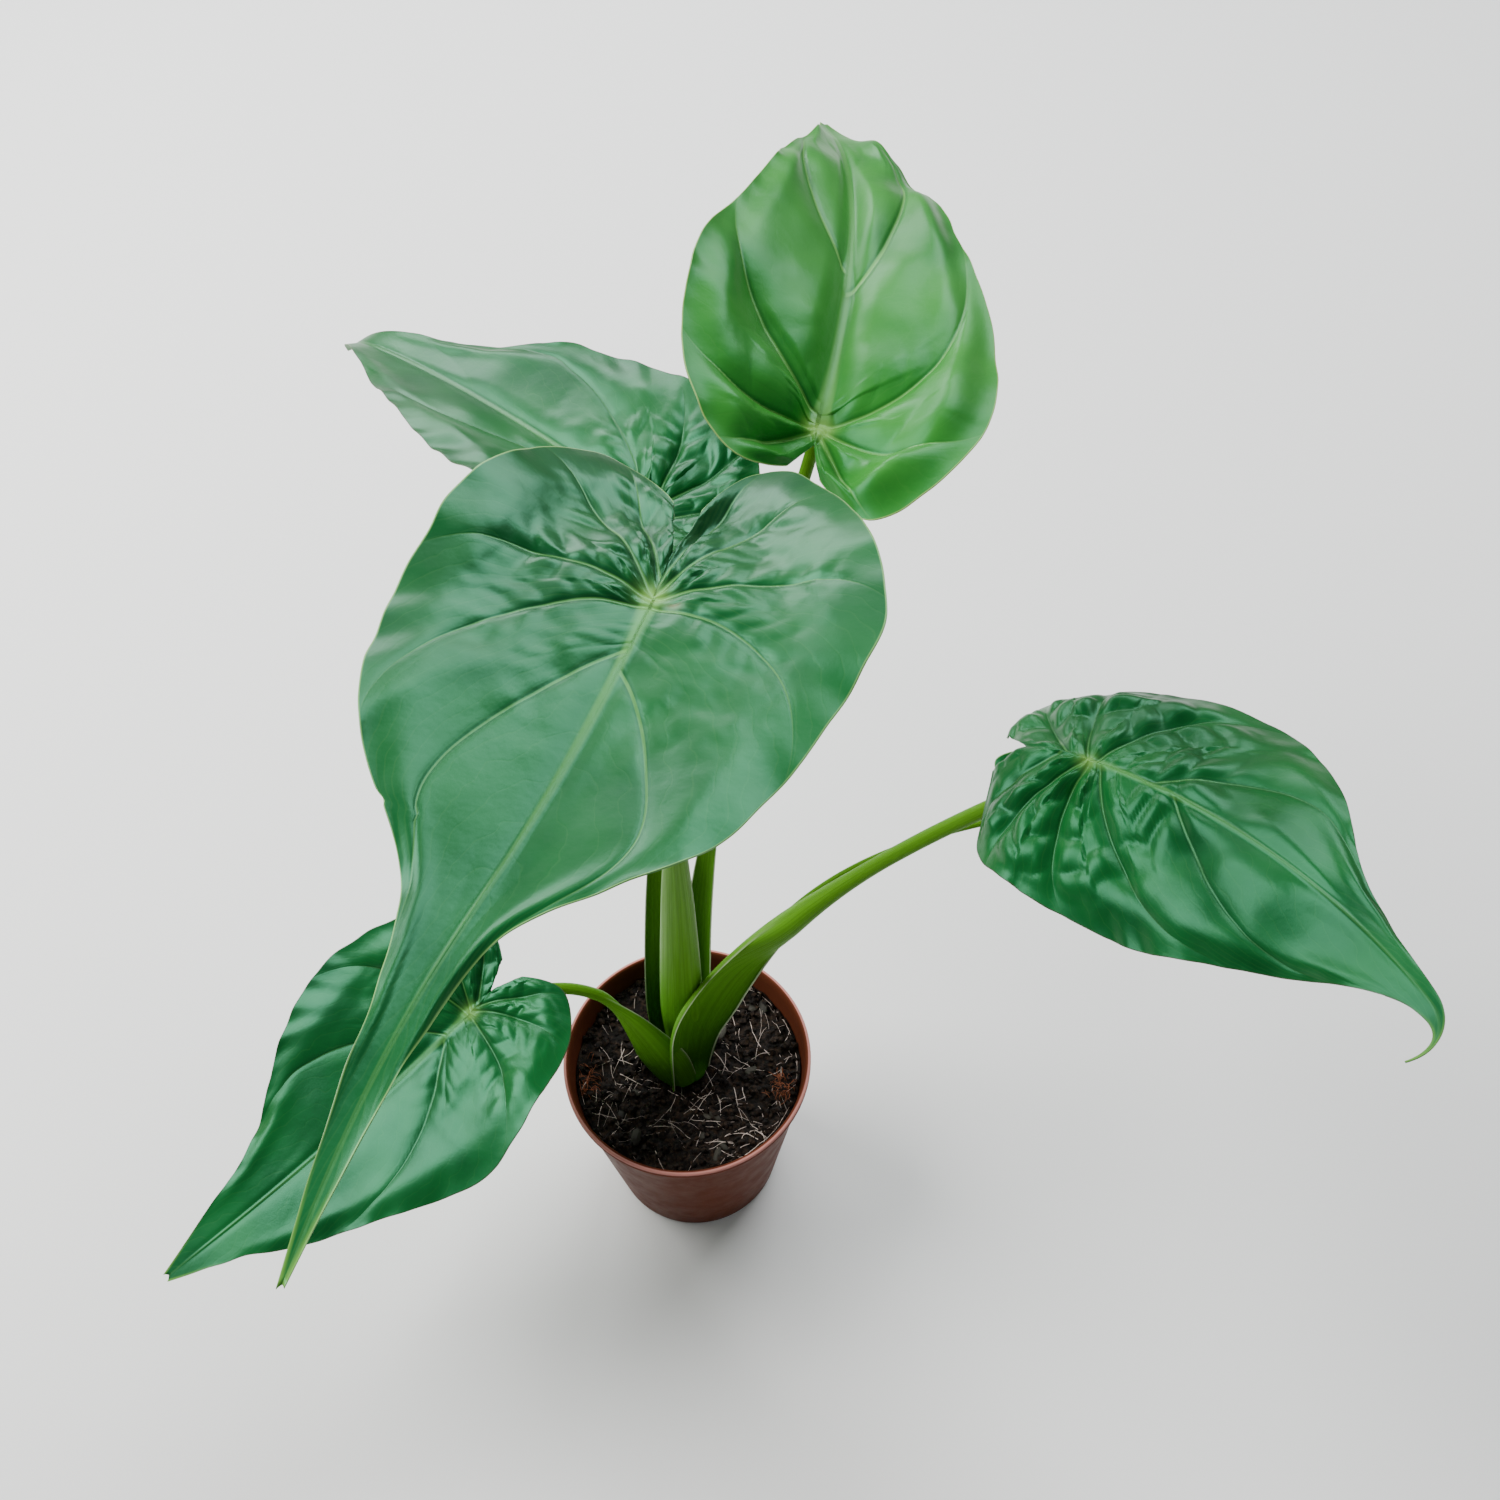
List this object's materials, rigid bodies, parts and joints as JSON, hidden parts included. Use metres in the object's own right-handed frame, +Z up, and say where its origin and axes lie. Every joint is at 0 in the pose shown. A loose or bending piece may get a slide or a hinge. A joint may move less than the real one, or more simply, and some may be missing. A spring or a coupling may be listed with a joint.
{
  "type": "potted chinese taro",
  "caption": "Small houseplant with glossy heart-shaped leaves on long sheathed stalks, growing in a tapered terracotta-coloured plastic pot of peat.",
  "frame": {"origin": "centre of the pot's underside, on the surface that it stands on", "axes": "+Z up along the pot's axis, +X to the right as pictured, +Y away from the viewer"},
  "size_m": [0.4745, 0.5555, 0.5282],
  "materials": {
    "pot_plastic": "satin terracotta-coloured plastic",
    "peat": "dark, crumbly, matt peat with fibres",
    "stalk": "smooth, moist green stalk",
    "leaf": "glossy deep green leaf",
    "young_leaf": "glossy fresh green leaf"
  },
  "bodies": {
    "root": {"pot": "pot_plastic", "soil": "peat", "stalks": "stalk", "blade_front": "leaf", "blade_upright": "young_leaf", "blade_back": "leaf", "blade_right": "leaf", "blade_left": "leaf", "blade_young": "leaf"}
  },
  "joints": []
}
